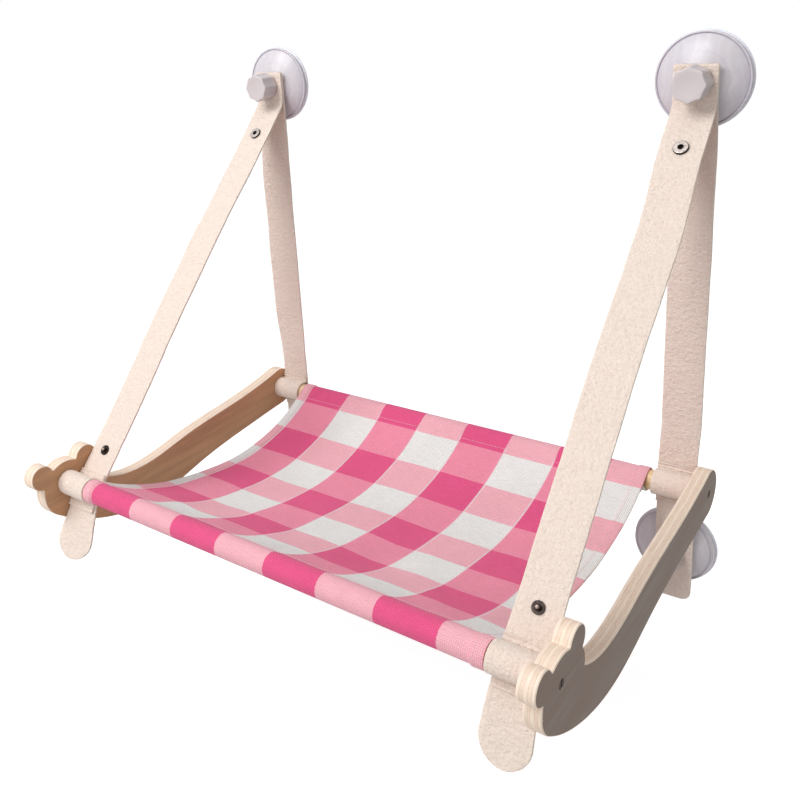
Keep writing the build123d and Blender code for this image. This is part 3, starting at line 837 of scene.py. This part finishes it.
class Sling:
    """The cloth as one sheet: sewn round the rear dowel, hung, and sewn round the front dowel."""

    # Leans of the hung cloth at the rear and front sleeve, and its sag at shares of the way between
    leave = math.radians(57)
    meet = math.radians(130)
    sag_shares = ((0.18, 0.62), (0.38, 1.0), (0.59, 0.72), (0.78, 0.10))

    def __init__(self, cloth):
        self.cloth = cloth
        self.half = half_width("hammock_cloth")
        self.hem_top = self.half - cloth.hem
        self.turn_at = self.half - cloth.hem_fold
        rear, front = side_middle("rear_dowel"), side_middle("front_dowel")
        sleeve = thickness_of("rear_dowel") / 2 + cloth.sleeve_gap + cloth.thickness / 2
        leave_at, meet_at = rear + self.spoke(self.leave) * sleeve, front + self.spoke(self.meet) * sleeve
        reach = rear.x - front.x
        sag = [Vector((rear.x - part * reach, rear.y - drop * cloth.sag)) for part, drop in self.sag_shares]
        hung = curve_through([leave_at, *sag, meet_at], leaning_down(self.leave), leaning_down(self.meet))
        hanging = Line(hung)
        under = cloth.thickness * 1.1  # just clear of the cloth that it is sewn under
        seams = []
        for distance in (cloth.seam, hanging.length - cloth.seam):
            at, way = hanging.at(distance)
            seams.append(at - square_to(way) * under)
        rear_turn = self.lower_tangent(rear, sleeve, seams[0], 1)
        front_turn = self.lower_tangent(front, sleeve, seams[1], -1)
        rear_top = math.pi / 2
        start = [*self.flap(hanging, cloth.seam, under, 1), *round_points(rear, sleeve, rear_turn, rear_top)]
        self.crest = Line(start).length
        start += round_points(rear, sleeve, rear_top, math.pi - self.leave)
        self.hang_start = Line(start).length
        self.hang_end = self.hang_start + hanging.length
        end = round_points(front, sleeve, math.pi - self.meet, front_turn)
        end += reversed(self.flap(hanging, hanging.length - cloth.seam, under, -1))
        self.line = Line(start + hung + end)

    @staticmethod
    def spoke(angle):
        """Way from a dowel's middle to where the hung cloth touches its sleeve."""
        return Vector((math.cos(math.pi - angle), math.sin(math.pi - angle)))

    @staticmethod
    def lower_tangent(dowel, sleeve, seam, way):
        """Angle at which the cloth under a dowel leaves it for the seam."""
        to_seam = seam - dowel
        angle = math.atan2(to_seam.y, to_seam.x) + way * math.acos(sleeve / to_seam.length)
        lowest = -math.pi * 1.5 if way > 0 else 0.0
        return (angle - lowest) % (2 * math.pi) + lowest

    def flap(self, hanging, seam, under, way):
        """The turned edge sewn under the sling, from its free end to the seam."""
        points = []
        for step in range(6):
            at, direction = hanging.at(seam + way * self.cloth.flap * (1 - step / 5))
            points.append(at - square_to(direction) * under)
        return points

    def widths(self):
        """Distances from the cloth's middle at which its mesh has points, closest at the folded hems."""
        cloth, stops = self.cloth, [0.0]
        for span, parts in (
            (self.hem_top - cloth.hem_rise, 48),
            (cloth.hem_rise, 4),
            (self.turn_at - self.hem_top, 4),
            (math.pi * cloth.hem_fold, 6),
            (cloth.hem, 4),
        ):
            start = stops[-1]
            stops += [start + span * index / parts for index in range(1, parts + 1)]
        return [-stop for stop in reversed(stops[1:])] + stops

    def ripples(self, x, distance):
        """How far the loose cloth stands above its even sag, with a fold near each front corner."""
        part = (distance - self.hang_start) / (self.hang_end - self.hang_start)
        if not 0 < part < 1:
            return 0.0
        height = 0.55 * math.sin(x * 34 + 3.0 * part + 0.6)
        height += 0.9 * part**2 * math.sin(x * 71 + 1.1) * (1 - part * 0.3)
        height += 0.35 * uneven(x * 30, distance * 24, 2.0)
        for side, depth in ((-1, 1.7), (1, 1.1)):
            fold = (side * x - self.half + 0.035 + (1 - part) * 0.26) / 0.014
            height += depth * math.exp(-fold * fold) * smooth(part, 0.55, 0.95)
        return height * math.sin(math.pi * part) ** 0.7 * self.cloth.ripple

    def across(self, flat):
        """X and height of a point at a distance from the cloth's middle, round its folded hem."""
        side, distance = math.copysign(1.0, flat), abs(flat)
        fold, lift = self.cloth.hem_fold, self.cloth.hem_lift
        if distance <= self.turn_at:
            return flat, smooth(distance, self.hem_top - self.cloth.hem_rise, self.hem_top) * (fold + lift)
        angle = (distance - self.turn_at) / fold
        if angle < math.pi:
            return side * (self.turn_at + fold * math.sin(angle)), lift + fold * math.cos(angle)
        return side * (self.turn_at - (distance - self.turn_at - math.pi * fold)), lift - fold

    def place(self, flat, distance, above=0.0):
        """Point of the cloth from its flat width and its distance along."""
        x, height = self.across(flat)
        at, way = self.line.at(distance)
        forward = smooth(distance, self.hang_start, self.hang_end)
        inset = self.cloth.mid_inset * math.sin(math.pi * forward) + self.cloth.rear_inset * (1 - forward)
        at += square_to(way) * (height + above + self.ripples(x, distance))
        return Vector((x * (1 - inset / self.half) + self.cloth.rear_shift * (1 - forward), *at))


def stitch_tree():
    """Geometry Nodes tree that sews stitches along an edge path."""
    tree = bpy.data.node_groups.new("Stitch row", "GeometryNodeTree")
    tree.interface.new_socket("Path", in_out="INPUT", socket_type="NodeSocketGeometry")
    for name in ("Pitch", "Stitch Length", "Thread Radius"):
        tree.interface.new_socket(name, in_out="INPUT", socket_type="NodeSocketFloat")
    tree.interface.new_socket("Thread", in_out="INPUT", socket_type="NodeSocketMaterial")
    tree.interface.new_socket("Stitches", in_out="OUTPUT", socket_type="NodeSocketGeometry")
    given = node(tree, "NodeGroupInput").outputs
    path = node(tree, "GeometryNodeMeshToCurve", {"Mesh": given["Path"]}).outputs[0]
    inputs = {"Curve": path, "Length": given["Pitch"]}
    spots = node(tree, "GeometryNodeCurveToPoints", inputs, mode="LENGTH").outputs
    radius, half = given["Thread Radius"], Field(given["Stitch Length"]) / 2.0
    size = node(tree, "ShaderNodeCombineXYZ", {0: radius, 1: radius, 2: half}).outputs[0]
    bead = node(tree, "GeometryNodeMeshUVSphere", {"Segments": 8, "Rings": 5, "Radius": 1.0}).outputs[0]
    aim = node(tree, "FunctionNodeAlignRotationToVector", {"Vector": spots["Tangent"]}, axis="Z").outputs[0]
    inputs = {"Points": spots["Points"], "Instance": bead, "Rotation": aim, "Scale": size}
    sewn = node(tree, "GeometryNodeInstanceOnPoints", inputs).outputs[0]
    whole = node(tree, "GeometryNodeRealizeInstances", {"Geometry": sewn}).outputs[0]
    inputs = {"Geometry": whole, "Material": given["Thread"]}
    dyed = node(tree, "GeometryNodeSetMaterial", inputs).outputs[0]
    node(tree, "NodeGroupOutput", {"Stitches": dyed})
    return tree


def sew(name, rows, stitch, thread):
    """Stitches along rows of points, as one plain mesh."""
    points, edges = [], []
    for row in rows:
        edges += [(len(points) + index, len(points) + index + 1) for index in range(len(row) - 1)]
        points += row
    path = bpy.data.meshes.new(name + "_path")
    path.from_pydata(points, edges, [])
    guide = new_object(name + "_path", path)
    tree = bpy.data.node_groups.get("Stitch row") or stitch_tree()
    modifier = guide.modifiers.new("Stitches", "NODES")
    modifier.node_group = tree
    values = {**dict(zip(("Pitch", "Stitch Length", "Thread Radius"), stitch)), "Thread": thread}
    for socket in tree.interface.items_tree:
        if socket.in_out == "INPUT" and socket.name in values:
            modifier[socket.identifier] = values[socket.name]
    evaluated = guide.evaluated_get(bpy.context.evaluated_depsgraph_get())
    sewn = bpy.data.meshes.new_from_object(evaluated)
    sewn.name = name
    bpy.data.objects.remove(guide)
    for face in sewn.polygons:
        face.use_smooth = True
    return new_object(name, sewn)


# Operators, one for each group of pieces


class PERCH_OT_sling(bpy.types.Operator):
    """Make the gingham sling with its hems, sleeves and stitches"""

    bl_idname = "perch.sling"
    bl_label = "Sling"

    def execute(self, context):
        cloth = context.scene.perch_cloth
        sling = Sling(cloth)
        widths, whole = sling.widths(), sling.line.length
        rows = math.ceil(whole / cloth.row)
        points, places, faces = [], [], []
        for distance in (whole * row / rows for row in range(rows + 1)):
            points += [sling.place(width, distance) for width in widths]
            places += [(width, distance - sling.crest) for width in widths]
        size = len(widths)
        for row in range(rows):
            for first in range(row * size, (row + 1) * size - 1):
                faces.append((first, first + 1, first + size + 1, first + size))
        hung = (sling.hang_start - sling.crest, sling.hang_end - sling.crest)
        piece = new_piece("gingham_sling", points, places, faces, cloth_finish(cloth, sling.half, hung))
        wall = piece.modifiers.new("Canvas", "SOLIDIFY")
        wall.thickness = cloth.thickness
        wall.offset = 0.0
        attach(piece, FRAME_BODY)
        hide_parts("hammock_cloth")

        above = cloth.thickness / 2
        hem_line = sling.hem_top + cloth.hem_sewn
        lines = []
        for side in (-1, 1):
            stops = [whole * index / 240 for index in range(4, 237)]
            lines.append([sling.place(side * hem_line, stop, above) for stop in stops])
        for stop in (sling.hang_start + cloth.seam, sling.hang_end - cloth.seam):
            spots = [sling.turn_at * (index / 60 - 1) for index in range(1, 120)]
            lines.append([sling.place(spot, stop, above) for spot in spots])
        stitches = sew("sling_stitches", lines, cloth.stitch, thread_finish("Pink thread", cloth.stitches))
        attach(stitches, FRAME_BODY)
        widths[-1] * 2
        return {"FINISHED"}


class PERCH_OT_straps(bpy.types.Operator):
    """Make the felt straps"""

    bl_idname = "perch.straps"
    bl_label = "Straps"

    def execute(self, context):
        felt = context.scene.perch_felt
        material = felt_finish(felt)
        for side in SIDES:
            self.rear_strap(side, felt, material)
            self.front_strap(side, felt, material)
        return {"FINISHED"}

    @staticmethod
    def rear_strap(side, felt, material):
        """Strap down the window, which sways a little between its cups."""
        low, high = corners("rear_strap_" + side)
        half, behind = (high.x - low.x) / 2, (low.y + high.y) / 2
        line = Line([Vector((behind, high.z)), Vector((behind, low.z))])
        shift = felt.left_shift if side == "left" else felt.right_shift
        twist = felt.rear_twist if side == "left" else 0.0

        def half_at(stop):
            to_end = min(line.length - stop, felt.corner)
            return half - felt.corner + math.sqrt(felt.corner**2 - (felt.corner - to_end) ** 2)

        def middle_at(stop):
            middle = strap_x(side, high.z - stop, felt)
            return middle + math.copysign(shift, middle) * hump(stop, *REAR_SWAYS[side])

        def twist_at(stop):
            return twist * hump(stop, *REAR_SWAYS[side])

        name = "felt_rear_strap_" + side
        rear = felt_band(name, line, felt, material, middle_at, half_at, twist_at=twist_at)
        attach(rear, WINDOW_BODY)
        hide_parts("rear_strap_" + side)

    @staticmethod
    def front_strap(side, felt, material):
        """Strap from the upper cup round the front dowel, with its creased, hanging tail."""
        half, end_half = half_width("rear_strap_" + side), felt.tail_width / 2
        line = FrontStrapLine(side, felt)
        tail, round_start = line.tail, line.length - end_half
        dowel_height = side_middle("front_dowel").y
        bow = felt.left_bow if side == "left" else -felt.right_bow
        twist = felt.left_twist if side == "left" else 0.0

        def half_at(stop):
            if stop <= tail:
                return half
            if stop <= round_start:
                return half + (end_half - half) * (stop - tail) / (round_start - tail)
            past = min(stop - round_start, end_half)
            return max(math.sqrt(end_half**2 - past**2), felt.tail_tip)

        def raised_at(across, stop):
            near = hump(stop, (tail - 0.002, tail + 0.004), (tail + 0.018, tail + 0.034))
            wave = math.sin(stop * 1500 + 2.5 * uneven(across * 60, stop * 30, 0.0))
            return bow * hump(stop, *FRONT_BOWS[side]) - felt.crease * near * (1 + wave)

        def middle_at(stop):
            middle = strap_x(side, max(line.at(stop)[0].y, dowel_height), felt)
            return middle - math.copysign(felt.tail_shift, middle) * smooth(stop, tail - 0.01, tail + 0.02)

        def twist_at(stop):
            return twist * smooth(stop, tail, line.length)

        name = "felt_front_strap_" + side
        front = felt_band(name, line, felt, material, middle_at, half_at, raised_at, twist_at)
        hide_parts("front_strap_" + side)
        for snap, way in (("snap_socket_", 1), ("snap_ball_", -1)):
            at = side_middle(snap + side) + leaning_down(line.lean) * way * felt.blend_past
            strap_x(side, at.y, felt)
        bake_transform(front)


class PERCH_OT_loops(bpy.types.Operator):
    """Make the felt loops round the dowels, with their stitches"""

    bl_idname = "perch.loops"
    bl_label = "Loops"

    def execute(self, context):
        felt = context.scene.perch_felt
        thread = thread_finish("Cream thread", felt.stitches)
        wrap, layer = wrap_radius(felt), felt.thickness + felt.loop_layer
        rear_dowel, front_dowel = side_middle("rear_dowel"), side_middle("front_dowel")
        for side in SIDES:
            strap = FrontStrapLine(side, felt)
            behind = side_middle("rear_strap_" + side).x - layer - rear_dowel.x
            tail_behind = (front_dowel - strap.tail_start).dot(leaning_front(strap.tail_lean)) - layer
            upper, lower = (0.0, behind, felt.rear_up), (0.0, behind, felt.rear_down)
            self.loop("rear", side, WINDOW_BODY, rear_dowel, upper, lower, felt, thread)
            upper = (strap.lean, wrap - layer, felt.front_up)
            lower = (strap.tail_lean, tail_behind, felt.front_down)
            self.loop("front", side, FRAME_BODY, front_dowel, upper, lower, felt, thread)
        return {"FINISHED"}

    @staticmethod
    def loop(end, side, body, dowel, upper, lower, felt, thread):
        """One loop, from its sewn edges as loop_line takes them, pressed down under its stitches."""
        half, x = half_width("rear_strap_" + side), strap_x(side, dowel.y, felt)
        path = loop_line(dowel, wrap_radius(felt), felt.loop_fillet, upper, lower)
        depth, spread = felt.pressed
        rows = [row for inset in felt.insets for row in (inset, path.length - inset)]

        def raised_at(across, stop):
            return felt.loop_lift - depth * sum(math.exp(-(((stop - row) / spread) ** 2)) for row in rows)

        material = bpy.data.materials["Cream felt"]
        name = f"felt_{end}_loop_{side}"
        at_x, at_half = (lambda stop: x), (lambda stop: half)
        loop = felt_band(name, path, felt, material, at_x, at_half, raised_at, step=0.0006)
        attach(loop, body)
        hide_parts(f"{end}_loop_{side}")
        lines = []
        for way, (lean, behind, reach) in ((-1, upper), (1, lower)):
            for inset in felt.insets:
                at = dowel - leaning_front(lean) * (behind - felt.thickness / 2 + felt.stitch_depth)
                at += leaning_down(lean) * way * (reach - inset)
                lines.append([(x + half * (index / 10 - 1) * felt.stitched, *at) for index in range(21)])
        stitches = sew(f"{end}_loop_stitches_{side}", lines, felt.stitch, thread)
        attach(stitches, body)
        flat = (half * 2, path.length)


class PERCH_OT_wood(bpy.types.Operator):
    """Finish the side panels and the dowels"""

    bl_idname = "perch.wood"
    bl_label = "Wood"

    def execute(self, context):
        wood = context.scene.perch_wood
        finish_nodes(plywood_finish(wood), "side_panel_")
        finish_nodes(dowel_finish(wood), "front_dowel", "rear_dowel", places=("",))
        return {"FINISHED"}


class PERCH_OT_cups(bpy.types.Operator):
    """Finish the suction cups, their covers and the knobs"""

    bl_idname = "perch.cups"
    bl_label = "Cups and knobs"

    def execute(self, context):
        fittings = context.scene.perch_fittings
        finish_nodes(cover_finish(fittings), "cup_cover_", places=PLACES)
        soft, _ = moulded_finish(
            "Soft cup plastic", fittings.cup, paint(222, 221, 234), 0.42, Subsurface_Weight=0.15
        )
        finish_nodes(soft.material, "suction_cup_", places=PLACES)
        knob, _ = moulded_finish("Knob plastic", fittings.knob, paint(200, 190, 192), 0.34, Coat_Weight=0.15)
        finish_nodes(knob.material, "clamp_knob_", places=PLACES)
        return {"FINISHED"}


class PERCH_OT_metal(bpy.types.Operator):
    """Finish the studs, nuts, screws and press studs"""

    bl_idname = "perch.metal"
    bl_label = "Metal"

    def execute(self, context):
        fittings = context.scene.perch_fittings
        zinc, _ = metal_finish("Zinc plate", fittings.zinc, paint(120, 118, 116), 0.38)
        finish_nodes(zinc.material, "cup_stud_", "knob_nut_", places=PLACES)
        finish_nodes(screw_finish(fittings), "panel_screw_rear_", "panel_screw_front_")
        ring = stud_finish("Nickel", "snap_socket_right", fittings.ring, 0.4, fittings.socket_shade_radii)
        finish_nodes(ring, "snap_socket_")
        nickel = stud_finish("Dark nickel", "snap_ball_right", fittings.nickel, 0.42, fittings.ball_shade_radii)
        finish_nodes(nickel, "snap_ball_", "snap_ball_cap_")
        # Painted shade: the caps seen through the sockets are painted near black, standing in for the shade
        # in the sockets' holes.
        hole_shade, _ = metal_finish("Socket hollow", fittings.hole_shade, paint(18, 16, 15), 0.55)
        finish_nodes(hole_shade.material, "snap_socket_cap_")
        return {"FINISHED"}


class PERCH_OT_stage(bpy.types.Operator):
    """Make the floor, the lights and the camera"""

    bl_idname = "perch.stage"
    bl_label = "Stage"

    def execute(self, context):
        scene, stage = context.scene, context.scene.perch_stage
        low, high = (Vector(corner) for corner in cad_box)
        reach, down = stage.floor_reach, low.z - stage.floor_drop
        ground = bpy.data.meshes.new("floor")
        edges = ((-reach, -reach, down), (reach, -reach, down), (reach, reach, down), (-reach, reach, down))
        ground.from_pydata(edges, [], [(0, 1, 2, 3)])
        ground.materials.append(floor_finish(stage.glow))
        new_object("floor", ground)
        for name, place, size, power in (
            ("key", (-0.66, -1.50, 1.36), 1.2, stage.key_power),
            ("fill", (-0.2, -1.9, -0.1), 1.2, stage.fill_power),
            ("top", (0.1, -0.2, 1.6), 1.4, stage.top_power),
        ):
            lamp = bpy.data.lights.new(name, "AREA")
            lamp.energy, lamp.size = power, size
            light = new_object(name, lamp)
            light.location = place
            light.rotation_euler = ((low + high) / 2 - Vector(place)).to_track_quat("-Z", "Y").to_euler()
        scene.world = even_sky(stage.sky)
        camera = bpy.data.cameras.new("camera")
        camera.lens, camera.sensor_width, camera.clip_start = stage.lens, 36.0, 0.01
        camera.shift_x, camera.shift_y = stage.shift_right, stage.shift_up
        scene.camera = new_object("camera", camera)
        turned = Matrix.Rotation(stage.turn, 3, "Z") @ Matrix.Rotation(math.pi / 2 - stage.tilt, 3, "X")
        scene.camera.rotation_euler = (turned @ Matrix.Rotation(stage.roll, 3, "Z")).to_euler()
        scene.camera.location = stage.place
        scene.view_settings.view_transform = "Standard"
        return {"FINISHED"}


class PERCH_PT_panel(bpy.types.Panel):
    """Buttons for the pieces and settings of the perch"""

    bl_idname = "PERCH_PT_panel"
    bl_label = "Cat Perch"
    bl_space_type = "VIEW_3D"
    bl_region_type = "UI"
    bl_category = "Cat Perch"

    def draw(self, context):
        for item in OPERATORS:
            self.layout.operator(item.bl_idname)
        for group in GROUPS:
            settings = getattr(context.scene, group)
            box = self.layout.box()
            for name in settings.__annotations__:
                box.prop(settings, name)


OPERATORS = (
    PERCH_OT_sling,
    PERCH_OT_straps,
    PERCH_OT_loops,
    PERCH_OT_wood,
    PERCH_OT_cups,
    PERCH_OT_metal,
    PERCH_OT_stage,
)
GROUPS = {
    "perch_cloth": PERCH_PG_cloth,
    "perch_felt": PERCH_PG_felt,
    "perch_wood": PERCH_PG_wood,
    "perch_fittings": PERCH_PG_fittings,
    "perch_stage": PERCH_PG_stage,
}
CLASSES = (*GROUPS.values(), *OPERATORS, PERCH_PT_panel)


def register():
    """Add the classes and the settings."""
    for item in CLASSES:
        bpy.utils.register_class(item)
    for name, group in GROUPS.items():
        setattr(bpy.types.Scene, name, PointerProperty(type=group))


def unregister():
    """Take the classes and the settings away."""
    for name in GROUPS:
        delattr(bpy.types.Scene, name)
    for item in reversed(CLASSES):
        bpy.utils.unregister_class(item)


def main():
    """Make every piece."""
    register()
    for item in OPERATORS:
        group, job = item.bl_idname.split(".")
        getattr(getattr(bpy.ops, group), job)()


if __name__ == "__main__":
    main()
